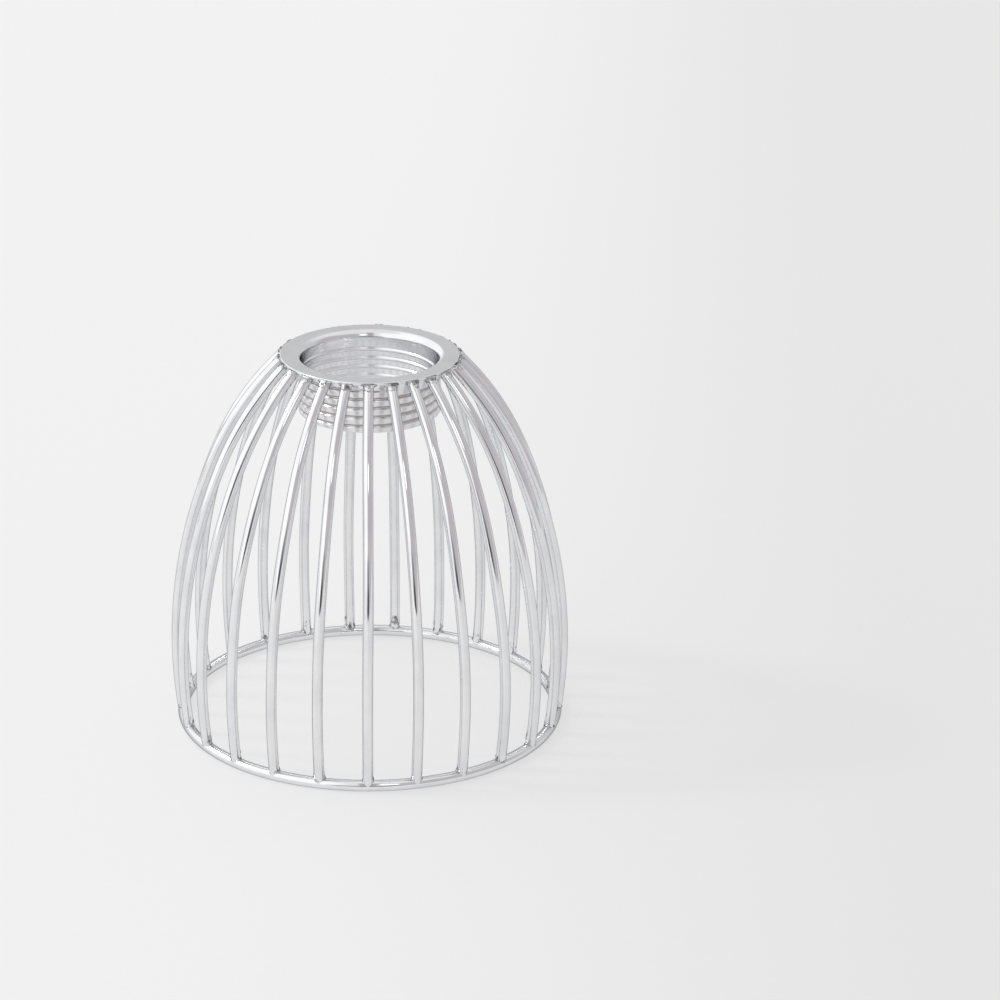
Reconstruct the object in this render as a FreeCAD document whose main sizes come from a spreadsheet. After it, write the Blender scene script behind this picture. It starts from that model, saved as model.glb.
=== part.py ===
"""Bulb cage guard: a welded wire cage with a pressed collar that screws on to a lamp holder.

The frame has +Z up along the cage's axis, with the hoop standing on z = 0. Lengths are in millimetres.
"""
import FreeCAD, Part
import math
import os
import Sketcher

os.makedirs("parts", exist_ok=True)
doc = FreeCAD.newDocument("bulb_cage_guard")

# Driving sizes: alias, value and what it is
SIZES = [
    ("guard_height", 111.4, "floor to the top of the collar's flange"),
    ("ring_radius", 55.0, "hoop, to the middle of its wire"),
    ("ring_wire_dia", 3.2, "wire of the hoop"),
    ("rib_count", 25, "ribs round the cage"),
    ("rib_wire_dia", 3.0, "wire of the ribs"),
    ("foot_lean", 8.5, "degrees that a rib leans outward as it leaves the hoop"),
    ("shoulder_slope", 23.5, "degrees from upright where a rib's slow bend turns into its quick one"),
    ("head_slope", 46.0, "degrees from upright at which a rib meets the collar"),
    ("head_inset", 1.0, "flange's rim to the middle of a rib's head"),
    ("flange_dia", 51.2, "outside of the collar's flange"),
    ("sheet_wall", 0.9, "sheet that the collar is pressed from"),
    ("bore_dia", 38.9, "inside of the collar's skirt"),
    ("lip_radius", 2.2, "rounding from the flange into the bore"),
    ("skirt_depth", 16.8, "flange's top to the skirt's lower edge"),
    ("thread_pitch", 2.65, "rise of the rolled thread in one turn"),
    ("thread_depth", 0.38, "how far the thread is rolled into the skirt"),
    ("thread_roll_dia", 1.2, "round edge of the tool that rolls the thread"),
    ("thread_edge", 1.0, "skirt's lower edge to the thread's start"),
    ("thread_neck", 1.8, "plain neck between the thread's end and the lip"),
    ("thread_start", 135, "degrees round from +X at which the thread starts"),
]

sheet = doc.addObject("Spreadsheet::Sheet", "Sizes")
for row, (alias, value, note) in enumerate(SIZES, start=1):
    sheet.set(f"A{row}", note)
    sheet.set(f"B{row}", str(value))
    sheet.setAlias(f"B{row}", alias)
doc.recompute()


def size(alias):
    """Return the sheet's number under an alias."""
    return float(sheet.get(alias))


def new_body(label):
    """Return an empty body under the given label."""
    body = doc.addObject("PartDesign::Body", label)
    body.Label = label
    return body


def new_sketch(body, name, plane="XZ_Plane"):
    """Return an empty sketch on one of the body's own origin planes."""
    sketch = body.newObject("Sketcher::SketchObject", name)
    support = next(f for f in body.Origin.OriginFeatures if f.Role == plane)
    sketch.AttachmentSupport = (support, [""])
    sketch.MapMode = "FlatFace"
    return sketch


def bind(sketch, constraint, expression):
    """Add a constraint whose value follows an expression in the sheet's sizes."""
    index = sketch.addConstraint(constraint)
    sketch.setExpression(f"Constraints[{index}]", expression)


def at(sketch, geometry, end, across, up):
    """Tie a point's distances from the sketch's origin to two expressions."""
    point = sketch.getPoint(geometry, end)
    bind(sketch, Sketcher.Constraint("DistanceX", -1, 1, geometry, end, point.x), across)
    bind(sketch, Sketcher.Constraint("DistanceY", -1, 1, geometry, end, point.y), up)


def segment(start, end):
    """Return a sketch line between two (across, up) points."""
    return Part.LineSegment(FreeCAD.Vector(*start, 0), FreeCAD.Vector(*end, 0))


def arc(centre, radius, start, end):
    """Return a sketch arc, with its angles in radians."""
    circle = Part.Circle(FreeCAD.Vector(*centre, 0), FreeCAD.Vector(0, 0, 1), radius)
    return Part.ArcOfCircle(circle, start, end)


def revolve(body, kind, name, sketch):
    """Turn a sketch once round the sketch's upright axis, which is the cage's axis."""
    feature = body.newObject(kind, name)
    feature.Profile = sketch
    feature.ReferenceAxis = (sketch, ["V_Axis"])
    feature.Angle = 360
    return feature


def round_section(sketch, dia, radius, height):
    """Draw a circle at a distance from the axis and a height, all given as expressions."""
    centre = FreeCAD.Vector(size("ring_radius"), size("ring_wire_dia") / 2, 0)
    circle = sketch.addGeometry(Part.Circle(centre, FreeCAD.Vector(0, 0, 1), size("ring_wire_dia") / 2), False)
    bind(sketch, Sketcher.Constraint("Diameter", circle, size("ring_wire_dia")), dia)
    at(sketch, circle, 3, radius, height)


def hoop_section(body, name):
    """Return a sketch of the hoop's wire, which the hoop is made from and the ribs' feet are cut to."""
    sketch = new_sketch(body, name)
    round_section(sketch, "Sizes.ring_wire_dia", "Sizes.ring_radius", "Sizes.ring_wire_dia / 2")
    return sketch


def base_ring():
    """The hoop: a round wire turned about the axis, standing on the floor."""
    body = new_body("base_ring")
    revolve(body, "PartDesign::Revolution", "hoop", hoop_section(body, "hoop_wire"))
    return body


def roll_thread(body, kind, name, wall_radius):
    """Run the rolling tool's round edge up a right-hand helix, one thread depth into the given wall."""
    section = new_sketch(body, f"{name}_section")
    section.AttachmentOffset = FreeCAD.Placement(FreeCAD.Vector(), FreeCAD.Rotation(FreeCAD.Vector(0, 1, 0), 1))
    section.setExpression("AttachmentOffset.Rotation.Angle", "Sizes.thread_start * 1 deg")
    round_section(section, "Sizes.thread_roll_dia",
                  f"{wall_radius} - Sizes.thread_depth + Sizes.thread_roll_dia / 2",
                  "Sizes.guard_height - Sizes.skirt_depth + Sizes.thread_edge")
    doc.recompute()

    thread = body.newObject(kind, name)
    thread.Profile = section
    thread.ReferenceAxis = (section, ["V_Axis"])
    thread.Mode = "pitch-height-angle"
    thread.setExpression("Pitch", "Sizes.thread_pitch")
    thread.setExpression("Height", "Sizes.skirt_depth - Sizes.lip_radius - Sizes.thread_edge - Sizes.thread_neck")


def threaded_collar():
    """The collar: sheet pressed into a flat flange, a rounded lip and a skirt with a thread rolled into it."""
    body = new_body("threaded_collar")
    sketch = new_sketch(body, "collar_section")
    top = size("guard_height")
    wall = size("sheet_wall")
    rim = size("flange_dia") / 2
    bore = size("bore_dia") / 2
    lip = size("lip_radius")
    foot = top - size("skirt_depth")
    bend = (bore + lip, top - lip)

    flange_top = sketch.addGeometry(segment((rim, top), (bore + lip, top)), False)
    lip_face = sketch.addGeometry(arc(bend, lip, math.pi / 2, math.pi), False)
    skirt_bore = sketch.addGeometry(segment((bore, top - lip), (bore, foot)), False)
    skirt_edge = sketch.addGeometry(segment((bore, foot), (bore + wall, foot)), False)
    skirt_face = sketch.addGeometry(segment((bore + wall, foot), (bore + wall, top - lip)), False)
    lip_back = sketch.addGeometry(arc(bend, lip - wall, math.pi / 2, math.pi), False)
    flange_back = sketch.addGeometry(segment((bore + lip, top - wall), (rim, top - wall)), False)
    rim_edge = sketch.addGeometry(segment((rim, top - wall), (rim, top)), False)

    for first, first_end, second, second_end in [
        (flange_top, 2, lip_face, 1),
        (lip_face, 2, skirt_bore, 1),
        (skirt_face, 2, lip_back, 2),
        (lip_back, 1, flange_back, 1),
    ]:
        sketch.addConstraint(Sketcher.Constraint("Tangent", first, first_end, second, second_end))
    for first, second in [(skirt_bore, skirt_edge), (skirt_edge, skirt_face), (flange_back, rim_edge),
                          (rim_edge, flange_top)]:
        sketch.addConstraint(Sketcher.Constraint("Coincident", first, 2, second, 1))
    for line in (flange_top, skirt_edge, flange_back):
        sketch.addConstraint(Sketcher.Constraint("Horizontal", line))
    for line in (skirt_bore, skirt_face, rim_edge):
        sketch.addConstraint(Sketcher.Constraint("Vertical", line))

    at(sketch, flange_top, 1, "Sizes.flange_dia / 2", "Sizes.guard_height")
    at(sketch, skirt_bore, 2, "Sizes.bore_dia / 2", "Sizes.guard_height - Sizes.skirt_depth")
    bind(sketch, Sketcher.Constraint("Radius", lip_face, lip), "Sizes.lip_radius")
    bind(sketch, Sketcher.Constraint("DistanceX", skirt_edge, 1, skirt_edge, 2, wall), "Sizes.sheet_wall")
    bind(sketch, Sketcher.Constraint("DistanceY", rim_edge, 1, rim_edge, 2, wall), "Sizes.sheet_wall")
    revolve(body, "PartDesign::Revolution", "pressing", sketch)

    # The tool pushes the sheet inward, so a ridge stands up in the bore behind the groove outside
    roll_thread(body, "PartDesign::AdditiveHelix", "thread_ridge", "Sizes.bore_dia / 2")
    roll_thread(body, "PartDesign::SubtractiveHelix", "thread_groove", "Sizes.bore_dia / 2 + Sizes.sheet_wall")
    return body


def rib_path(body):
    """Draw a rib's middle line: two bends and a short straight end, from the hoop's wire to the flange."""
    sketch = new_sketch(body, "rib_path")
    lean, shoulder, slope = (math.radians(size(a)) for a in ("foot_lean", "shoulder_slope", "head_slope"))
    foot = (size("ring_radius"), size("ring_wire_dia") / 2)
    head = (size("flange_dia") / 2 - size("head_inset"), size("guard_height") - size("sheet_wall"))
    inward = foot[0] - head[0]
    rise = head[1] - foot[1]

    # The three slopes and the two ends leave one radius for each bend
    slow_in, slow_up = math.cos(lean) - math.cos(shoulder), math.sin(lean) + math.sin(shoulder)
    quick_in, quick_up = math.cos(shoulder) - math.cos(slope), math.sin(slope) - math.sin(shoulder)
    spread = slow_in * quick_up - quick_in * slow_up
    slow = (inward * quick_up - quick_in * rise) / spread
    quick = (slow_in * rise - slow_up * inward) / spread
    slow_centre = (foot[0] - slow * math.cos(lean), foot[1] + slow * math.sin(lean))
    quick_centre = (head[0] - quick * math.cos(slope), head[1] - quick * math.sin(slope))
    spare = size("rib_wire_dia") * 2
    tip = (head[0] - spare * math.sin(slope), head[1] + spare * math.cos(slope))

    slow_bend = sketch.addGeometry(arc(slow_centre, slow, -lean, shoulder), False)
    quick_bend = sketch.addGeometry(arc(quick_centre, quick, shoulder, slope), False)
    straight = sketch.addGeometry(segment(head, tip), False)
    slow_spokes = [sketch.addGeometry(segment(slow_centre, end), True) for end in (
        foot, (slow_centre[0] + slow * math.cos(shoulder), slow_centre[1] + slow * math.sin(shoulder)))]

    sketch.addConstraint(Sketcher.Constraint("Tangent", slow_bend, 2, quick_bend, 1))
    sketch.addConstraint(Sketcher.Constraint("Tangent", quick_bend, 2, straight, 1))
    for spoke, end in zip(slow_spokes, (1, 2)):
        sketch.addConstraint(Sketcher.Constraint("Coincident", spoke, 1, slow_bend, 3))
        sketch.addConstraint(Sketcher.Constraint("Coincident", spoke, 2, slow_bend, end))
    at(sketch, slow_bend, 1, "Sizes.ring_radius", "Sizes.ring_wire_dia / 2")
    at(sketch, straight, 1, "Sizes.flange_dia / 2 - Sizes.head_inset", "Sizes.guard_height - Sizes.sheet_wall")
    bind(sketch, Sketcher.Constraint("Angle", slow_spokes[0], -lean), "-Sizes.foot_lean * 1 deg")
    bind(sketch, Sketcher.Constraint("Angle", slow_spokes[1], shoulder), "Sizes.shoulder_slope * 1 deg")
    bind(sketch, Sketcher.Constraint("Angle", straight, slope + math.pi / 2), "Sizes.head_slope * 1 deg + 90 deg")
    bind(sketch, Sketcher.Constraint("Distance", straight, spare), "2 * Sizes.rib_wire_dia")
    return sketch


def rib(index):
    """One rib: wire swept along its path, its foot cut to the hoop and its head to the flange."""
    body = new_body(f"rib_{index + 1:02d}")
    path = rib_path(body)
    section = new_sketch(body, "rib_wire", "XY_Plane")
    section.AttachmentOffset = FreeCAD.Placement(FreeCAD.Vector(), FreeCAD.Rotation(FreeCAD.Vector(0, 1, 0), 1))
    section.setExpression("AttachmentOffset.Base.x", "Sizes.ring_radius")
    section.setExpression("AttachmentOffset.Base.z", "Sizes.ring_wire_dia / 2")
    section.setExpression("AttachmentOffset.Rotation.Angle", "Sizes.foot_lean * 1 deg")
    circle = section.addGeometry(Part.Circle(FreeCAD.Vector(), FreeCAD.Vector(0, 0, 1), 1), False)
    section.addConstraint(Sketcher.Constraint("Coincident", circle, 3, -1, 1))
    bind(section, Sketcher.Constraint("Diameter", circle, 2), "Sizes.rib_wire_dia")
    doc.recompute()

    wire = body.newObject("PartDesign::AdditivePipe", "wire")
    wire.Profile = section
    wire.Spine = path
    revolve(body, "PartDesign::Groove", "foot_cut", hoop_section(body, "foot_seat"))

    seat = new_sketch(body, "head_seat", "XY_Plane")
    seat.setExpression("AttachmentOffset.Base.z", "Sizes.guard_height - Sizes.sheet_wall")
    disc = seat.addGeometry(Part.Circle(FreeCAD.Vector(), FreeCAD.Vector(0, 0, 1), 1), False)
    seat.addConstraint(Sketcher.Constraint("Coincident", disc, 3, -1, 1))
    bind(seat, Sketcher.Constraint("Diameter", disc, 2), "2 * Sizes.flange_dia")
    head_cut = body.newObject("PartDesign::Pocket", "head_cut")
    head_cut.Profile = seat
    head_cut.Type = "ThroughAll"
    head_cut.Reversed = True
    body.setExpression("Placement.Rotation.Angle", f"{index} * 360 deg / Sizes.rib_count")
    return body


pieces = [threaded_collar(), base_ring()]
pieces += [rib(index) for index in range(round(size("rib_count")))]
doc.recompute()

for thing in doc.Objects:
    if "Invalid" in thing.State or "Error" in thing.State:
        raise RuntimeError(f"{thing.Label} did not build: {thing.State}")
for piece in pieces:
    if piece.Shape.isNull() or not piece.Shape.isValid() or len(piece.Shape.Solids) != 1:
        raise RuntimeError(f"{piece.Label} is not one sound solid")
    piece.Shape.exportStep(f"parts/{piece.Label}.step")
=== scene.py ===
"""Bulb cage guard: a chrome-plated wire cage on a threaded collar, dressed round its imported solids."""

import math

import bmesh
import bpy
from mathutils import Matrix, Vector


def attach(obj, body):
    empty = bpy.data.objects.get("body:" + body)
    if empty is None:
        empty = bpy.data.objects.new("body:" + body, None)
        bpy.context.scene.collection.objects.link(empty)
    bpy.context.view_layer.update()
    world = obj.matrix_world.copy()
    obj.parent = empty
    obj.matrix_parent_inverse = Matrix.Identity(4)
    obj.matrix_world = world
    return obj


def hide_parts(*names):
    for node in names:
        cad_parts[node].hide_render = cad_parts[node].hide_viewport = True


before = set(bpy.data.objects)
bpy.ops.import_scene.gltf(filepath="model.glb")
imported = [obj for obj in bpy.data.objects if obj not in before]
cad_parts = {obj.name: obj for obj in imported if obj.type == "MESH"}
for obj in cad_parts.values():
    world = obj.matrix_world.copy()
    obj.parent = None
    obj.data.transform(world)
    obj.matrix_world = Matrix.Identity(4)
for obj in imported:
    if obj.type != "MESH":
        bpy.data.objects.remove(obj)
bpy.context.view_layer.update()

# Base hoop
# A drawn steel wire bent to a circle, butt-welded shut and chrome-plated with the rest of the cage.
# The guard stands on it, and its open middle lets the bulb in.
MM = 0.001
HOOP_RADIUS = 55.0 * MM
HOOP_WIRE_RADIUS = 1.6 * MM
HAZE_STARTS = 0.4
HAZE_FULL = 0.7
SIDE_CORNERS = 4


def linear(hex_colour):
    """Turn an sRGB hex colour into linear red, green, blue and alpha."""
    channels = (int(hex_colour[i:i + 2], 16) / 255 for i in (1, 3, 5))
    return (*(c / 12.92 if c <= 0.04045 else ((c + 0.055) / 1.055) ** 2.4 for c in channels), 1.0)


def add(tree, kind, inputs=None, **settings):
    """Add a node with its settings, and set or link its inputs."""
    made = tree.nodes.new(kind)
    for name, value in settings.items():
        setattr(made, name, value)
    for socket, value in (inputs or {}).items():
        if isinstance(value, bpy.types.NodeSocket):
            tree.links.new(value, made.inputs[socket])
        else:
            made.inputs[socket].default_value = value
    return made


def fade(tree, value, start, end, low=0.0, high=1.0, curve="LINEAR"):
    """Add a node that goes from low to high as a value goes from start to end, and return its result."""
    made = add(tree, "ShaderNodeMapRange", {"Value": value, "From Min": start, "From Max": end,
                                            "To Min": low, "To Max": high}, interpolation_type=curve)
    return made.outputs["Result"]


def mixed(tree, share, first, second):
    """Add a node that goes from the first colour to the second by a share, and return its result."""
    # A mix node's two colours are its inputs 6 and 7, and the mixed one is its output 2
    made = add(tree, "ShaderNodeMix", {"Factor": share, 6: first, 7: second}, data_type="RGBA")
    return made.outputs[2]


def chrome(name, bright, dull, edge, smooth, hazy, haze_size, ripple_size, ripple_height):
    """Chrome plate: a near-white mirror that takes the edge colour where it curves away from the eye.

    Faint haze lies on it in patches, and a slight ripple comes from the metal under it.
    """
    material = bpy.data.materials.new(name)
    material.use_nodes = True
    tree = material.node_tree
    shader = tree.nodes["Principled BSDF"]
    shader.inputs["Metallic"].default_value = 1.0
    shader.inputs["Specular Tint"].default_value = linear(edge)
    place = add(tree, "ShaderNodeTexCoord").outputs["Object"]
    noise = add(tree, "ShaderNodeTexNoise", {"Vector": place, "Scale": 1 / haze_size, "Detail": 3.0})
    haze = noise.outputs["Fac"]
    patch = fade(tree, haze, HAZE_STARTS, HAZE_FULL)
    tint = mixed(tree, patch, linear(bright), linear(dull))
    tree.links.new(tint, shader.inputs["Base Color"])
    gloss = fade(tree, haze, HAZE_STARTS, HAZE_FULL, smooth, hazy)
    tree.links.new(gloss, shader.inputs["Roughness"])
    ripple = add(tree, "ShaderNodeTexNoise", {"Vector": place, "Scale": 1 / ripple_size, "Detail": 2.0})
    bump = add(tree, "ShaderNodeBump", {"Height": ripple.outputs["Fac"], "Distance": ripple_height,
                                        "Strength": 1.0})
    tree.links.new(bump.outputs["Normal"], shader.inputs["Normal"])
    return material


# Drawn wire takes a smooth plate: long clean reflections that waver a little along the wire
wire_chrome = chrome("bright_chrome_on_drawn_wire", bright="#EEEFF1", dull="#E6E7EA", edge="#A9ABAF",
                     smooth=0.05, hazy=0.09, haze_size=9 * MM, ripple_size=7 * MM,
                     ripple_height=0.008 * MM)


def sized_tree(name, sockets):
    """Start a geometry tree with a named input for each size, and return it with its inputs."""
    tree = bpy.data.node_groups.new(name, "GeometryNodeTree")
    tree.interface.new_socket("Geometry", in_out="OUTPUT", socket_type="NodeSocketGeometry")
    for label, kind in sockets.items():
        tree.interface.new_socket(label, in_out="INPUT", socket_type=f"NodeSocket{kind}")
    return tree, tree.nodes.new("NodeGroupInput").outputs


def close_tree(tree, geometry, material):
    """End a tree with real geometry, smooth sides, flat ends and its material."""
    real = add(tree, "GeometryNodeRealizeInstances", {"Geometry": geometry})
    sides = add(tree, "GeometryNodeInputMeshFaceNeighbors")
    side = add(tree, "FunctionNodeCompare", {"A": sides.outputs["Vertex Count"], "B": SIDE_CORNERS},
               data_type="INT", operation="LESS_EQUAL")
    smooth = add(tree, "GeometryNodeSetShadeSmooth", {"Geometry": real.outputs["Geometry"],
                                                      "Shade Smooth": side.outputs["Result"]})
    dressed = add(tree, "GeometryNodeSetMaterial", {"Geometry": smooth.outputs["Geometry"],
                                                    "Material": material})
    add(tree, "NodeGroupOutput", {"Geometry": dressed.outputs["Geometry"]})


def grown(name, tree, sizes, start=None):
    """Run a tree with the given sizes, and return its result as a plain mesh object."""
    piece = bpy.data.objects.new(name, start or bpy.data.meshes.new(name))
    bpy.context.scene.collection.objects.link(piece)
    modifier = piece.modifiers.new("shape", "NODES")
    modifier.node_group = tree
    for item in tree.interface.items_tree:
        if item.in_out == "INPUT" and item.name in sizes:
            modifier[item.identifier] = sizes[item.name]
    bpy.context.view_layer.update()
    mesh = bpy.data.meshes.new_from_object(piece.evaluated_get(bpy.context.evaluated_depsgraph_get()))
    piece.modifiers.remove(modifier)
    piece.data = mesh
    return piece


hoop_tree, hoop_in = sized_tree("bent_hoop", {
    "Hoop Radius": "Float", "Wire Radius": "Float", "Steps Round": "Int", "Steps Across": "Int",
    "Material": "Material"})
hoop_line = add(hoop_tree, "GeometryNodeCurvePrimitiveCircle",
                {"Resolution": hoop_in["Steps Round"], "Radius": hoop_in["Hoop Radius"]})
hoop_section = add(hoop_tree, "GeometryNodeCurvePrimitiveCircle",
                   {"Resolution": hoop_in["Steps Across"], "Radius": hoop_in["Wire Radius"]})
hoop_swept = add(hoop_tree, "GeometryNodeCurveToMesh", {"Curve": hoop_line.outputs["Curve"],
                                                        "Profile Curve": hoop_section.outputs["Curve"]})
hoop_rise = add(hoop_tree, "ShaderNodeCombineXYZ", {"Z": hoop_in["Wire Radius"]})
hoop_raised = add(hoop_tree, "GeometryNodeTransform", {"Geometry": hoop_swept.outputs["Mesh"],
                                                       "Translation": hoop_rise.outputs["Vector"]})
close_tree(hoop_tree, hoop_raised.outputs["Geometry"], hoop_in["Material"])
hoop = grown("hoop_wire", hoop_tree, {
    "Hoop Radius": HOOP_RADIUS, "Wire Radius": HOOP_WIRE_RADIUS, "Steps Round": 360, "Steps Across": 32,
    "Material": wire_chrome})
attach(hoop, "root")
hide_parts("base_ring")

# Ribs
# Straight lengths of thinner drawn wire, each bent in a slow curve and then a quick one, all alike.
# The foot is butt-welded on the hoop and the head under the collar's flange.
RIB_COUNT = 25
RIB_WIRE_RADIUS = 1.5 * MM
FOOT_LEAN = math.radians(8.5)
SHOULDER_SLOPE = math.radians(23.5)
HEAD_SLOPE = math.radians(46.0)
FLANGE_TOP = 111.4 * MM
FLANGE_RADIUS = 25.6 * MM
SHEET_WALL = 0.9 * MM
HEAD_INSET = 1.0 * MM
FLANGE_BACK = FLANGE_TOP - SHEET_WALL
END_RING = 0.9999
WANDER = 0.25 * MM
WANDER_LENGTH = 38 * MM
SIDE_WANDERS = 2.0

rib_foot = Vector((HOOP_RADIUS, 0, HOOP_WIRE_RADIUS))
rib_head = Vector((FLANGE_RADIUS - HEAD_INSET, 0, FLANGE_BACK))
slow_in = math.cos(FOOT_LEAN) - math.cos(SHOULDER_SLOPE)
slow_up = math.sin(FOOT_LEAN) + math.sin(SHOULDER_SLOPE)
quick_in = math.cos(SHOULDER_SLOPE) - math.cos(HEAD_SLOPE)
quick_up = math.sin(HEAD_SLOPE) - math.sin(SHOULDER_SLOPE)
inward = rib_foot.x - rib_head.x
rise = rib_head.z - rib_foot.z
spread = slow_in * quick_up - quick_in * slow_up
slow_radius = (inward * quick_up - quick_in * rise) / spread
quick_radius = (slow_in * rise - slow_up * inward) / spread
slow_centre = rib_foot - slow_radius * Vector((math.cos(FOOT_LEAN), 0, -math.sin(FOOT_LEAN)))
quick_centre = rib_head - quick_radius * Vector((math.cos(HEAD_SLOPE), 0, math.sin(HEAD_SLOPE)))


def calc(tree, operation, *values, **settings):
    """Add a node that works out a number from some values, and return the number."""
    return add(tree, "ShaderNodeMath", dict(enumerate(values)), operation=operation, **settings).outputs[0]


def scaled(tree, vector, amount):
    """Add a node that multiplies a vector by an amount, and return the result."""
    made = add(tree, "ShaderNodeVectorMath", {0: vector, "Scale": amount}, operation="SCALE")
    return made.outputs["Vector"]


def outward(tree, parts):
    """Add nodes that point out from the cage's axis at a place given in parts, and return that way."""
    flat = add(tree, "ShaderNodeCombineXYZ", {"X": parts["X"], "Y": parts["Y"]})
    made = add(tree, "ShaderNodeVectorMath", {0: flat.outputs["Vector"]}, operation="NORMALIZE")
    return made.outputs["Vector"]


def round_the_axis(tree, count, piece):
    """Add nodes that repeat a piece at equal turns round the cage's axis, and return real geometry."""
    seats = add(tree, "GeometryNodePoints", {"Count": count})
    number = add(tree, "GeometryNodeInputIndex").outputs["Index"]
    share = calc(tree, "DIVIDE", number, count)
    turn = calc(tree, "MULTIPLY", share, math.tau)
    angle = add(tree, "ShaderNodeCombineXYZ", {"Z": turn})
    copies = add(tree, "GeometryNodeInstanceOnPoints", {"Points": seats.outputs["Points"], "Instance": piece,
                                                        "Rotation": angle.outputs["Vector"]})
    real = add(tree, "GeometryNodeRealizeInstances", {"Geometry": copies.outputs["Instances"]})
    return real.outputs["Geometry"]


rib_tree, rib_in = sized_tree("bent_ribs", {
    "Rib Count": "Int", "Wire Radius": "Float", "Foot Lean": "Float", "Shoulder Slope": "Float",
    "Head Slope": "Float", "Slow Radius": "Float", "Slow Centre": "Vector", "Quick Radius": "Float",
    "Quick Centre": "Vector", "Flange Back": "Float", "Wander": "Float", "Wander Length": "Float",
    "Steps Along": "Int", "Steps Across": "Int", "Material": "Material"})
rib_line = add(rib_tree, "GeometryNodeCurvePrimitiveLine")
rib_points = add(rib_tree, "GeometryNodeResampleCurve", {"Curve": rib_line.outputs["Curve"],
                                                         "Count": rib_in["Steps Along"]})
along = add(rib_tree, "GeometryNodeSplineParameter").outputs["Factor"]
lean_back = calc(rib_tree, "MULTIPLY", rib_in["Foot Lean"], -1.0)
slope = fade(rib_tree, along, 0.0, 1.0, lean_back, rib_in["Head Slope"])
slope_cos = calc(rib_tree, "COSINE", slope)
slope_sin = calc(rib_tree, "SINE", slope)
spoke = add(rib_tree, "ShaderNodeCombineXYZ", {"X": slope_cos, "Z": slope_sin}).outputs["Vector"]
bends = []
for bend in ("Slow", "Quick"):
    spoke_end = scaled(rib_tree, spoke, rib_in[f"{bend} Radius"])
    bend_place = add(rib_tree, "ShaderNodeVectorMath", {0: spoke_end, 1: rib_in[f"{bend} Centre"]},
                     operation="ADD")
    bends.append(bend_place.outputs["Vector"])
past_shoulder = add(rib_tree, "FunctionNodeCompare", {"A": slope, "B": rib_in["Shoulder Slope"]},
                    data_type="FLOAT", operation="GREATER_THAN")
bent_place = add(rib_tree, "GeometryNodeSwitch", {"Switch": past_shoulder.outputs["Result"],
                                                  "False": bends[0], "True": bends[1]}, input_type="VECTOR")
rib_bent = add(rib_tree, "GeometryNodeSetPosition", {"Geometry": rib_points.outputs["Curve"],
                                                     "Position": bent_place.outputs["Output"]})
rib_marked = add(rib_tree, "GeometryNodeCaptureAttribute", {"Geometry": rib_bent.outputs["Geometry"]})
rib_marked.capture_items.new("FLOAT", "along")
rib_tree.links.new(along, rib_marked.inputs[1])
along_mark = rib_marked.outputs[1]
rib_section = add(rib_tree, "GeometryNodeCurvePrimitiveCircle",
                  {"Resolution": rib_in["Steps Across"], "Radius": rib_in["Wire Radius"]})
rib_swept = add(rib_tree, "GeometryNodeCurveToMesh", {"Curve": rib_marked.outputs["Geometry"],
                                                      "Profile Curve": rib_section.outputs["Curve"],
                                                      "Fill Caps": True})
# The head is cut level with the flange: its end ring slides along the wire on to that plane
head_ring = add(rib_tree, "FunctionNodeCompare", {"A": along_mark, "B": END_RING}, data_type="FLOAT",
                operation="GREATER_THAN")
place = add(rib_tree, "GeometryNodeInputPosition").outputs["Position"]
place_parts = add(rib_tree, "ShaderNodeSeparateXYZ", {"Vector": place}).outputs
short_by = calc(rib_tree, "SUBTRACT", rib_in["Flange Back"], place_parts["Z"])
head_tan = calc(rib_tree, "TANGENT", rib_in["Head Slope"])
sideways = calc(rib_tree, "MULTIPLY", short_by, head_tan)
back_in = calc(rib_tree, "MULTIPLY", sideways, -1.0)
slide = add(rib_tree, "ShaderNodeCombineXYZ", {"X": back_in, "Z": short_by})
rib_cut = add(rib_tree, "GeometryNodeSetPosition", {"Geometry": rib_swept.outputs["Mesh"],
                                                    "Selection": head_ring.outputs["Result"],
                                                    "Offset": slide.outputs["Vector"]})
rib_round = round_the_axis(rib_tree, rib_in["Rib Count"], rib_cut.outputs["Geometry"])
# Bent wire strays a little between its two welds, sideways and inwards, never past the cage's true outline
stray_scale = calc(rib_tree, "DIVIDE", 1.0, rib_in["Wander Length"])
stray = add(rib_tree, "ShaderNodeTexNoise", {"Vector": place, "Scale": stray_scale, "Detail": 0.0})
stray_parts = add(rib_tree, "ShaderNodeSeparateXYZ", {"Vector": stray.outputs["Color"]}).outputs
stray_span = calc(rib_tree, "MULTIPLY", along_mark, math.pi)
stray_free = calc(rib_tree, "SINE", stray_span)
stray_size = calc(rib_tree, "MULTIPLY", stray_free, rib_in["Wander"])
stray_both = calc(rib_tree, "MULTIPLY_ADD", stray_parts["X"], 2 * SIDE_WANDERS, -SIDE_WANDERS)
stray_side = calc(rib_tree, "MULTIPLY", stray_both, stray_size)
stray_less = calc(rib_tree, "MULTIPLY", stray_parts["Y"], -1.0)
stray_in = calc(rib_tree, "MULTIPLY", stray_less, stray_size)
outwards = outward(rib_tree, place_parts)
sidewards = add(rib_tree, "ShaderNodeVectorMath", {0: (0, 0, 1), 1: outwards}, operation="CROSS_PRODUCT")
shift_side = scaled(rib_tree, sidewards.outputs["Vector"], stray_side)
shift_in = scaled(rib_tree, outwards, stray_in)
shift = add(rib_tree, "ShaderNodeVectorMath", {0: shift_side, 1: shift_in}, operation="ADD")
rib_strayed = add(rib_tree, "GeometryNodeSetPosition", {"Geometry": rib_round,
                                                        "Offset": shift.outputs["Vector"]})
close_tree(rib_tree, rib_strayed.outputs["Geometry"], rib_in["Material"])
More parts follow.
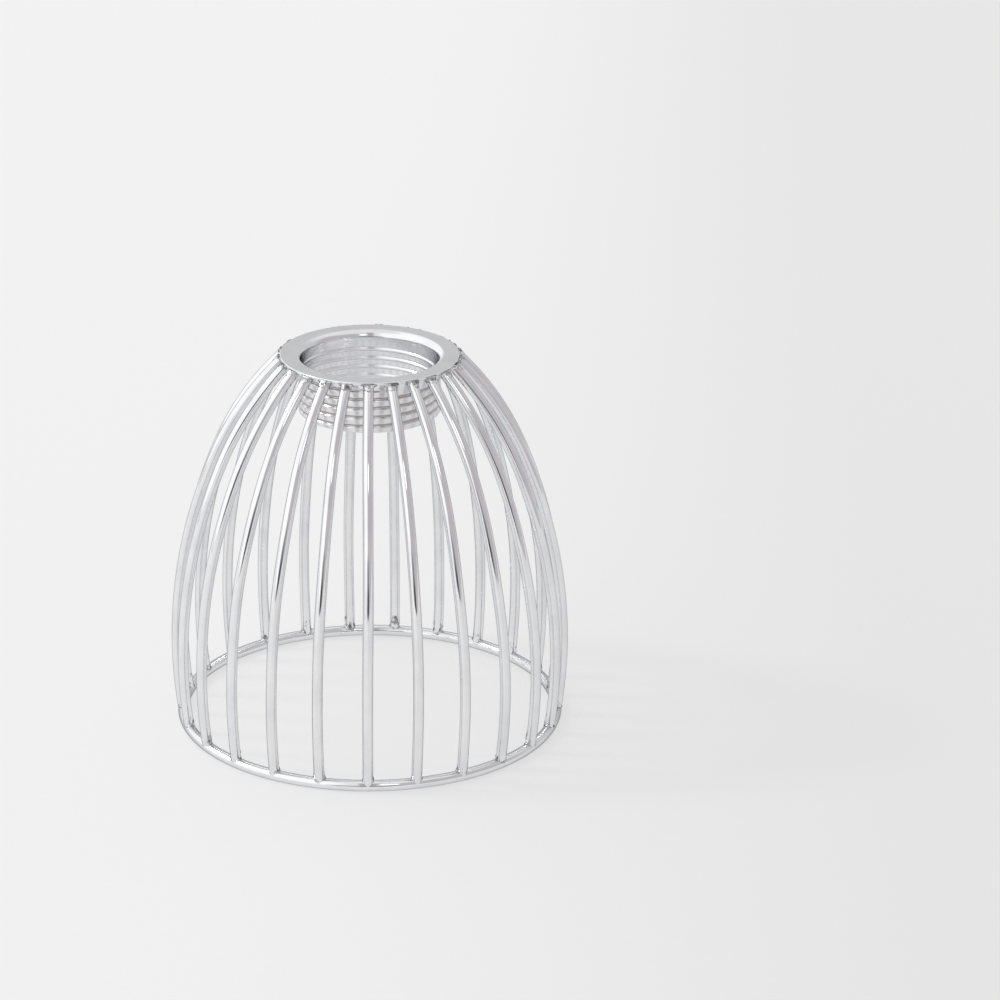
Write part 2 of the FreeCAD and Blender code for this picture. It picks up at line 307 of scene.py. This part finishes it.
ribs = grown("rib_wires", rib_tree, {
    "Rib Count": RIB_COUNT, "Wire Radius": RIB_WIRE_RADIUS, "Foot Lean": FOOT_LEAN,
    "Shoulder Slope": SHOULDER_SLOPE, "Head Slope": HEAD_SLOPE, "Slow Radius": slow_radius,
    "Slow Centre": slow_centre, "Quick Radius": quick_radius, "Quick Centre": quick_centre,
    "Flange Back": FLANGE_BACK, "Wander": WANDER, "Wander Length": WANDER_LENGTH, "Steps Along": 64,
    "Steps Across": 28, "Material": wire_chrome})
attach(ribs, "root")
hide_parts(*(f"rib_{number:02d}" for number in range(1, RIB_COUNT + 1)))

# Welds
# Resistance welds at both ends of each rib: metal squeezed out of the joint into a small uneven fillet,
# more of it inside the cage at the foot. It is plated with the rest but never polished, so it is duller.
BEAD_STEPS = 28
BEAD_RINGS = 6
FOOT_BEAD_RISE = 6.0 * MM
FOOT_BEAD_SPREAD = 0.8 * MM
FOOT_BEAD_OUTSIDE = 0.15
HEAD_BEAD_DROP = 1.3 * MM
HEAD_BEAD_SPREAD = 1.0 * MM
HEAD_BEAD_CLIMB = 0.75
HEAD_BEAD_PROUD = 0.7 * MM
RIM_BLEND = 1.0 * MM
BEAD_UNEVENNESS = 0.3 * MM
BEAD_LUMP_SIZE = 1.4 * MM
LUMP_LOW = 0.3
LUMP_HIGH = 0.7
LUMP_DIP = -1.0
LUMP_SWELL = 0.6

# Weld metal stays rough under its plate: grey, patchy and uneven, with only small broken reflections
weld_chrome = chrome("chrome_over_unpolished_weld", bright="#E8E9EA", dull="#6E6A6C", edge="#9A9BA0",
                     smooth=0.06, hazy=0.25, haze_size=1.5 * MM, ripple_size=0.8 * MM,
                     ripple_height=0.03 * MM)


def bead(name, edges):
    """Return a closed fillet mesh from its low edge, its corner and its high edge at each step round."""
    form = bmesh.new()
    rings = []
    for ring in range(BEAD_RINGS + 1):
        v = ring / BEAD_RINGS
        rings.append([form.verts.new((1 - v) ** 2 * low + 2 * v * (1 - v) * corner + v ** 2 * high)
                      for low, corner, high in edges])
    for lower, upper in zip(rings, rings[1:]):
        for i in range(BEAD_STEPS):
            j = (i + 1) % BEAD_STEPS
            form.faces.new((lower[i], lower[j], upper[j], upper[i]))
    form.faces.new(reversed(rings[0]))
    form.faces.new(rings[-1])
    bmesh.ops.recalc_face_normals(form, faces=form.faces)
    mesh = bpy.data.meshes.new(name)
    form.to_mesh(mesh)
    form.free()
    return mesh


bead_tree, bead_in = sized_tree("beads_round_the_cage", {
    "Bead": "Geometry", "Rib Count": "Int", "Unevenness": "Float", "Lump Size": "Float",
    "Material": "Material"})
bead_round = round_the_axis(bead_tree, bead_in["Rib Count"], bead_in["Bead"])
bead_place = add(bead_tree, "GeometryNodeInputPosition").outputs["Position"]
lump_scale = calc(bead_tree, "DIVIDE", 1.0, bead_in["Lump Size"])
lumps = add(bead_tree, "ShaderNodeTexNoise", {"Vector": bead_place, "Scale": lump_scale, "Detail": 1.0})
lump_height = fade(bead_tree, lumps.outputs["Fac"], LUMP_LOW, LUMP_HIGH, LUMP_DIP, LUMP_SWELL)
lump_swell = calc(bead_tree, "MULTIPLY", lump_height, bead_in["Unevenness"])
bead_normal = add(bead_tree, "GeometryNodeInputNormal").outputs["Normal"]
lump_offset = scaled(bead_tree, bead_normal, lump_swell)
bead_lumpy = add(bead_tree, "GeometryNodeSetPosition", {"Geometry": bead_round, "Offset": lump_offset})
close_tree(bead_tree, bead_lumpy.outputs["Geometry"], bead_in["Material"])

across = Vector((0, 1, 0))
foot_along = Vector((math.sin(FOOT_LEAN), 0, math.cos(FOOT_LEAN)))
foot_out = Vector((math.cos(FOOT_LEAN), 0, -math.sin(FOOT_LEAN)))
foot_edges = []
for step in range(BEAD_STEPS):
    turn = step / BEAD_STEPS * math.tau
    side = math.cos(turn) * across + math.sin(turn) * foot_out
    seat = math.sqrt(HOOP_WIRE_RADIUS ** 2 - (RIB_WIRE_RADIUS * math.sin(turn)) ** 2)
    corner = rib_foot + seat * foot_along + RIB_WIRE_RADIUS * side
    fullness = FOOT_BEAD_OUTSIDE + (1 - FOOT_BEAD_OUTSIDE) * (0.5 - 0.5 * math.sin(turn)) ** 2
    reach = RIB_WIRE_RADIUS + fullness * FOOT_BEAD_SPREAD
    wrap = reach * math.sin(turn) / HOOP_WIRE_RADIUS
    low = (rib_foot + HOOP_WIRE_RADIUS * (math.cos(wrap) * foot_along + math.sin(wrap) * foot_out)
           + reach * math.cos(turn) * across)
    foot_edges.append((low, corner, corner + fullness * FOOT_BEAD_RISE * foot_along))

head_along = Vector((-math.sin(HEAD_SLOPE), 0, math.cos(HEAD_SLOPE)))
head_out = Vector((math.cos(HEAD_SLOPE), 0, math.sin(HEAD_SLOPE)))
head_edges = []
for step in range(BEAD_STEPS):
    turn = step / BEAD_STEPS * math.tau
    side = math.cos(turn) * across + math.sin(turn) * head_out
    cut = -RIB_WIRE_RADIUS * math.sin(turn) * math.tan(HEAD_SLOPE)
    corner = rib_head + cut * head_along + RIB_WIRE_RADIUS * side
    flat = Vector((math.sin(turn), math.cos(turn), 0))
    high = corner + HEAD_BEAD_SPREAD * flat
    past_rim = min(1.0, max(0.0, (math.hypot(high.x, high.y) - FLANGE_RADIUS) / RIM_BLEND))
    if past_rim > 0:
        high *= (FLANGE_RADIUS + past_rim * HEAD_BEAD_PROUD) / math.hypot(high.x, high.y)
    high.z = FLANGE_BACK + past_rim * HEAD_BEAD_CLIMB * SHEET_WALL
    head_edges.append((corner - HEAD_BEAD_DROP * head_along, corner, high))

for bead_name, bead_edges in (("foot_welds", foot_edges), ("head_welds", head_edges)):
    welds = grown(bead_name, bead_tree, {
        "Rib Count": RIB_COUNT, "Unevenness": BEAD_UNEVENNESS, "Lump Size": BEAD_LUMP_SIZE,
        "Material": weld_chrome}, bead(bead_name, bead_edges))
    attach(welds, "root")

# Collar
# Steel sheet pressed into a flat flange with a rounded lip and a skirt, then a coarse round thread is rolled
# in from outside, so a groove outside stands as a ridge inside. It screws on to the lamp holder's barrel.
BORE_RADIUS = 19.45 * MM
LIP_RADIUS = 2.2 * MM
SKIRT_DEPTH = 16.8 * MM
SKIRT_FOOT = FLANGE_TOP - SKIRT_DEPTH
EDGE_ROUND = 0.25 * MM
THREAD_PITCH = 2.65 * MM
THREAD_DEPTH = 0.42 * MM
THREAD_HALF_WIDTH = 0.72 * MM
THREAD_CLEARANCE = 1.0 * MM
THREAD_FOOT = SKIRT_FOOT + THREAD_CLEARANCE
THREAD_RISE = 11.8 * MM
THREAD_START = math.radians(135)
THREAD_RUNOUT = 0.14
COLLAR_STEPS = 240
SKIRT_STEP = 0.12 * MM
EDGE_STEPS = 4
FLANGE_STEPS = 4
LIP_STEPS = 18
LIP_BACK_STEPS = 12
ROLLED_HAZE = 0.06
GROOVE_STARTS = 0.03 * MM
BORE_SIDE_ENDS = 0.05 * MM
GROOVE_SIDE_STARTS = 0.2 * MM
# Colour of the painted shade in the outer groove
GROOVE_SHADE_COLOUR = "#C4B9B0"

# Pressed sheet is a little less even than wire, so its plate is hazier and its reflections are softer
sheet_chrome = chrome("bright_chrome_on_pressed_sheet", bright="#EBECEE", dull="#E4E5E8", edge="#F4F4F5",
                      smooth=0.09, hazy=0.13, haze_size=8 * MM, ripple_size=6 * MM,
                      ripple_height=0.008 * MM)
# Rolling roughens the skirt, so below the lip its plate only gives soft broad bands
sheet_tree = sheet_chrome.node_tree
sheet_shader = sheet_tree.nodes["Principled BSDF"]
flange_gloss = sheet_shader.inputs["Roughness"].links[0].from_socket
sheet_place = add(sheet_tree, "ShaderNodeTexCoord").outputs["Object"]
sheet_height = add(sheet_tree, "ShaderNodeSeparateXYZ", {"Vector": sheet_place}).outputs["Z"]
rolled_share = fade(sheet_tree, sheet_height, FLANGE_TOP - LIP_RADIUS, FLANGE_TOP - 2 * LIP_RADIUS)
sheet_gloss = calc(sheet_tree, "MULTIPLY_ADD", rolled_share, ROLLED_HAZE, flange_gloss)
sheet_tree.links.new(sheet_gloss, sheet_shader.inputs["Roughness"])
# Painted shade: the bottom of the outer groove is coloured darker and warmer, a dark line for the shade in it
skirt_out = BORE_RADIUS + SHEET_WALL
sheet_flat = add(sheet_tree, "ShaderNodeVectorMath", {0: sheet_place, 1: (1, 1, 0)}, operation="MULTIPLY")
sheet_radius = add(sheet_tree, "ShaderNodeVectorMath", {0: sheet_flat.outputs["Vector"]},
                   operation="LENGTH").outputs["Value"]
groove_deep = fade(sheet_tree, sheet_radius, skirt_out - GROOVE_STARTS, skirt_out - THREAD_DEPTH)
groove_side = fade(sheet_tree, sheet_radius, BORE_RADIUS + BORE_SIDE_ENDS, BORE_RADIUS + GROOVE_SIDE_STARTS)
groove_shade_mask = calc(sheet_tree, "MULTIPLY", groove_deep, groove_side)
groove_shade_share = calc(sheet_tree, "MULTIPLY", groove_shade_mask, rolled_share)
sheet_tint = sheet_shader.inputs["Base Color"].links[0].from_socket
# Painted shade mixed into the base colour at the outer groove's bottom
groove_shade_tint = mixed(sheet_tree, groove_shade_share, sheet_tint, linear(GROOVE_SHADE_COLOUR))
sheet_tree.links.new(groove_shade_tint, sheet_shader.inputs["Base Color"])


def bow(centre, radius, start, end, steps):
    """Return points on an arc in the collar's section, as distance from the axis and height."""
    angles = (math.radians(start + (end - start) * i / steps) for i in range(steps + 1))
    return [(centre[0] + radius * math.cos(a), centre[1] + radius * math.sin(a)) for a in angles]


lip_centre = (BORE_RADIUS + LIP_RADIUS, FLANGE_TOP - LIP_RADIUS)
skirt_rows = round((lip_centre[1] - SKIRT_FOOT - EDGE_ROUND) / SKIRT_STEP)
skirt_heights = [lip_centre[1] + (SKIRT_FOOT + EDGE_ROUND - lip_centre[1]) * i / skirt_rows
                 for i in range(1, skirt_rows)]
flange_radii = [FLANGE_RADIUS + (lip_centre[0] - FLANGE_RADIUS) * i / FLANGE_STEPS
                for i in range(1, FLANGE_STEPS)]
section = bow((FLANGE_RADIUS - EDGE_ROUND, FLANGE_TOP - EDGE_ROUND), EDGE_ROUND, 0, 90, EDGE_STEPS)
section += [(radius, FLANGE_TOP) for radius in flange_radii]
section += bow(lip_centre, LIP_RADIUS, 90, 180, LIP_STEPS)
section += [(BORE_RADIUS, height) for height in skirt_heights]
section += bow((BORE_RADIUS + EDGE_ROUND, SKIRT_FOOT + EDGE_ROUND), EDGE_ROUND, 180, 270, EDGE_STEPS)
section += bow((skirt_out - EDGE_ROUND, SKIRT_FOOT + EDGE_ROUND), EDGE_ROUND, -90, 0, EDGE_STEPS)
section += [(skirt_out, height) for height in reversed(skirt_heights)]
section += bow(lip_centre, LIP_RADIUS - SHEET_WALL, 180, 90, LIP_BACK_STEPS)
section += [(radius, FLANGE_BACK) for radius in reversed(flange_radii)]
section += bow((FLANGE_RADIUS - EDGE_ROUND, FLANGE_BACK + EDGE_ROUND), EDGE_ROUND, -90, 0, EDGE_STEPS)

pressing = bmesh.new()
columns = []
for step in range(COLLAR_STEPS):
    turn = step / COLLAR_STEPS * math.tau
    columns.append([pressing.verts.new((r * math.cos(turn), r * math.sin(turn), z)) for r, z in section])
for step in range(COLLAR_STEPS):
    here, there = columns[step], columns[(step + 1) % COLLAR_STEPS]
    for i in range(len(section)):
        j = (i + 1) % len(section)
        pressing.faces.new((here[i], there[i], there[j], here[j]))
bmesh.ops.recalc_face_normals(pressing, faces=pressing.faces)
pressed = bpy.data.meshes.new("pressed_collar")
pressing.to_mesh(pressed)
pressing.free()

roll_tree, roll_in = sized_tree("rolled_thread", {
    "Pressing": "Geometry", "Pitch": "Float", "Turns": "Float", "Depth": "Float", "Half Width": "Float",
    "Foot Height": "Float", "Start Turn": "Float", "Runout Turns": "Float", "Material": "Material"})
roll_place = add(roll_tree, "GeometryNodeInputPosition").outputs["Position"]
roll_parts = add(roll_tree, "ShaderNodeSeparateXYZ", {"Vector": roll_place}).outputs
roll_round = calc(roll_tree, "ARCTAN2", roll_parts["Y"], roll_parts["X"])
roll_past = calc(roll_tree, "SUBTRACT", roll_round, roll_in["Start Turn"])
roll_share = calc(roll_tree, "DIVIDE", roll_past, math.tau)
roll_up = calc(roll_tree, "SUBTRACT", roll_parts["Z"], roll_in["Foot Height"])
roll_climb = calc(roll_tree, "DIVIDE", roll_up, roll_in["Pitch"])
roll_apart = calc(roll_tree, "SUBTRACT", roll_climb, roll_share)
# The nearest lap of the helix, how far along the thread it is, and how far above or below it the point lies
roll_lap = calc(roll_tree, "ROUND", roll_apart)
roll_turns = calc(roll_tree, "ADD", roll_share, roll_lap)
roll_off = calc(roll_tree, "SUBTRACT", roll_apart, roll_lap)
roll_gap = calc(roll_tree, "ABSOLUTE", roll_off)
roll_reach = calc(roll_tree, "MULTIPLY", roll_gap, roll_in["Pitch"])
roll_bump = fade(roll_tree, roll_reach, roll_in["Half Width"], 0.0, curve="SMOOTHSTEP")
# The groove starts from nothing and runs out to nothing, each within a small part of a turn
roll_last = calc(roll_tree, "SUBTRACT", roll_in["Turns"], roll_in["Runout Turns"])
roll_run_in = fade(roll_tree, roll_turns, 0.0, roll_in["Runout Turns"], curve="SMOOTHSTEP")
roll_run_out = fade(roll_tree, roll_turns, roll_in["Turns"], roll_last, curve="SMOOTHSTEP")
roll_span = calc(roll_tree, "MULTIPLY", roll_run_in, roll_run_out)
roll_amount = calc(roll_tree, "MULTIPLY", roll_bump, roll_span)
roll_push = calc(roll_tree, "MULTIPLY", roll_amount, roll_in["Depth"])
roll_inward = calc(roll_tree, "MULTIPLY", roll_push, -1.0)
roll_offset = scaled(roll_tree, outward(roll_tree, roll_parts), roll_inward)
rolled = add(roll_tree, "GeometryNodeSetPosition", {"Geometry": roll_in["Pressing"], "Offset": roll_offset})
close_tree(roll_tree, rolled.outputs["Geometry"], roll_in["Material"])
collar = grown("threaded_collar_sheet", roll_tree, {
    "Pitch": THREAD_PITCH, "Turns": THREAD_RISE / THREAD_PITCH, "Depth": THREAD_DEPTH,
    "Half Width": THREAD_HALF_WIDTH, "Foot Height": THREAD_FOOT, "Start Turn": THREAD_START,
    "Runout Turns": THREAD_RUNOUT, "Material": sheet_chrome}, pressed)
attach(collar, "root")
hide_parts("threaded_collar")

# Floor
# A matt white board that fills the whole view, faintly mottled, with painted shade darkening it away from the
# window.
# To the eye and in the chrome most of its white is its own, so the shadow stays faint.
FLOOR_HALF = 8.0
OWN_WHITE = 0.7
FIBRE_SIZE = 3 * MM
MOTTLE = 0.15
PAINTED_DIMMING_STARTS = -0.05
PAINTED_DIMMING_ENDS = 0.2
BOARD_BRIGHT = "#EFEFEF"
BOARD_PAINTED_DIM = "#E3E3E3"
board = bpy.data.materials.new("matt_white_board")
board.use_nodes = True
board_tree = board.node_tree
board_shader = board_tree.nodes["Principled BSDF"]
board_shader.inputs["Roughness"].default_value = 0.5
board_shader.inputs["Specular IOR Level"].default_value = 0.06
board_place = add(board_tree, "ShaderNodeTexCoord").outputs["Object"]
fibres = add(board_tree, "ShaderNodeTexNoise", {"Vector": board_place, "Scale": 1 / FIBRE_SIZE,
                                                "Detail": 4.0})
board_across = add(board_tree, "ShaderNodeSeparateXYZ", {"Vector": board_place}).outputs["X"]
# Painted light fall-off: the colour darkens away from the window side, mixed with the board's real mottle
painted_window_falloff = fade(board_tree, board_across, PAINTED_DIMMING_STARTS, PAINTED_DIMMING_ENDS, curve="SMOOTHSTEP")
board_mottle_and_painted_dimming = calc(board_tree, "MULTIPLY_ADD", fibres.outputs["Fac"], MOTTLE, painted_window_falloff)
board_tint_with_painted_falloff = mixed(board_tree, board_mottle_and_painted_dimming, linear(BOARD_BRIGHT), linear(BOARD_PAINTED_DIM))
ray = add(board_tree, "ShaderNodeLightPath").outputs
seen = calc(board_tree, "ADD", ray["Is Camera Ray"], ray["Is Glossy Ray"])
seen_all = calc(board_tree, "ADD", seen, ray["Is Transmission Ray"], use_clamp=True)
own_share = calc(board_tree, "MULTIPLY", seen_all, OWN_WHITE)
lit_tint = mixed(board_tree, own_share, board_tint_with_painted_falloff, linear("#000000"))
board_tree.links.new(lit_tint, board_shader.inputs["Base Color"])
board_tree.links.new(board_tint_with_painted_falloff, board_shader.inputs["Emission Color"])
board_tree.links.new(own_share, board_shader.inputs["Emission Strength"])
floor_mesh = bpy.data.meshes.new("floor")
floor_mesh.from_pydata([(-FLOOR_HALF, -FLOOR_HALF, 0), (FLOOR_HALF, -FLOOR_HALF, 0),
                        (FLOOR_HALF, FLOOR_HALF, 0), (-FLOOR_HALF, FLOOR_HALF, 0)], [], [(0, 1, 2, 3)])
floor_mesh.materials.append(board)
floor = bpy.data.objects.new("floor", floor_mesh)
bpy.context.scene.collection.objects.link(floor)

# Studio
# A pale room, brighter overhead and towards the camera, with a broad soft window on the left and a dimmer
# right side. In front are a dim strip, a small lamp and the dark round the camera, just above the floor.
# A soft light from the left casts the shadow.
VIEW_TURN = math.radians(2.1)
LAMP_TURN = math.radians(14)
LAMP_HEIGHT = math.radians(35)
LAMP_EDGE = math.cos(math.radians(6))
LAMP_CORE = math.cos(math.radians(4.5))
WALL_STRENGTH = 0.68
LIGHT_HEIGHT = math.radians(40)
LIGHT_FORWARD = 0.05
turned = Matrix.Rotation(VIEW_TURN, 3, "Z")
right_way = turned @ Vector((1, 0, 0))
camera_way = turned @ Vector((0, -1, 0))
lamp_way = (turned @ Matrix.Rotation(LAMP_TURN, 3, "Z") @ Vector((0, -1, 0))) * math.cos(LAMP_HEIGHT)
lamp_way.z = math.sin(LAMP_HEIGHT)

scene = bpy.context.scene
scene.view_settings.view_transform = "Standard"
room = bpy.data.worlds.new("studio")
room.use_nodes = True
scene.world = room
sky = room.node_tree
looked_at = add(sky, "ShaderNodeTexCoord").outputs["Generated"]


def nearing(way):
    """Add a node that says how near the way looked in is to another: 1 along it and -1 against it."""
    made = add(sky, "ShaderNodeVectorMath", {0: looked_at, 1: way}, operation="DOT_PRODUCT")
    return made.outputs["Value"]


def glow(strength, tint):
    """Return a colour at a strength."""
    return [strength * channel for channel in linear(tint)[:3]] + [1.0]


rightness = nearing(right_way)
nearness = nearing(camera_way)
height = nearing((0, 0, 1))
lampness = nearing(lamp_way)

AREAS = [
    # Strength, colour, then the edges in right, near, height and lamp between which the area fades in.
    # In order: ceiling, camera side, right side, window, dim strip, lamp, the dark round the camera, camera
    (0.90, "#FFFFFF", [(height, 0.45, 0.8)]),
    (0.85, "#FFFFFF", [(nearness, 0.2, 0.5), (height, 0.85, 0.6)]),
    (0.58, "#FFF6FB", [(rightness, 0.0, 0.2), (nearness, -0.4, 0.0), (height, 0.9, 0.7)]),
    (1.16, "#FFFFFF", [(rightness, -0.10, -0.32), (height, 0.95, 0.85), (height, 0.0, 0.06)]),
    (0.50, "#F6EDF4", [(rightness, -0.10, -0.04), (rightness, 0.12, 0.06), (nearness, 0.3, 0.5)]),
    (3.00, "#FFFFFF", [(lampness, LAMP_EDGE, LAMP_CORE)]),
    (0.37, "#E9E9EE", [(nearness, 0.90, 0.95), (height, 0.26, 0.18)]),
    (0.10, "#EFF0F6", [(nearness, 0.945, 0.97), (height, 0.15, 0.08)]),
]
sky_colour = glow(WALL_STRENGTH, "#FFFFFF")
for strength, tint, edges in AREAS:
    share = 1.0
    for value, start, end in edges:
        edge = fade(sky, value, start, end, curve="SMOOTHSTEP")
        share = calc(sky, "MULTIPLY", share, edge)
    sky_colour = mixed(sky, share, sky_colour, glow(strength, tint))
sky.links.new(sky_colour, sky.nodes["Background"].inputs["Color"])

window = bpy.data.lights.new("soft_window", "SUN")
window.energy = 0.7
window.angle = math.radians(12)
window_object = bpy.data.objects.new("soft_window", window)
light_travel = turned @ Vector((math.cos(LIGHT_HEIGHT), -LIGHT_FORWARD, -math.sin(LIGHT_HEIGHT)))
window_object.rotation_euler = light_travel.to_track_quat("-Z", "Y").to_euler()
scene.collection.objects.link(window_object)

# Camera
# It stands where the photograph's camera stood: a long lens in front and above, with a slight roll.
# Its place, tilt, roll and lens were fitted to the hoop, the flange and the cage's outline in the photograph.
CAMERA_TILT = math.radians(21.419)
CAMERA_ROLL = math.radians(0.708)
CAMERA_PLACE = Vector((37.643, -976.4, 449.96)) * MM
LENS_PIXELS = 3625.58
PICTURE_PIXELS = 1000
camera = bpy.data.cameras.new("camera")
camera.sensor_width = 36.0
camera.lens = LENS_PIXELS / PICTURE_PIXELS * camera.sensor_width
camera.clip_end = 50
camera_object = bpy.data.objects.new("camera", camera)
camera_turn = (turned @ Matrix.Rotation(math.pi / 2 - CAMERA_TILT, 3, "X")
               @ Matrix.Rotation(CAMERA_ROLL, 3, "Z"))
camera_object.matrix_world = Matrix.Translation(turned @ CAMERA_PLACE) @ camera_turn.to_4x4()
scene.collection.objects.link(camera_object)
scene.camera = camera_object
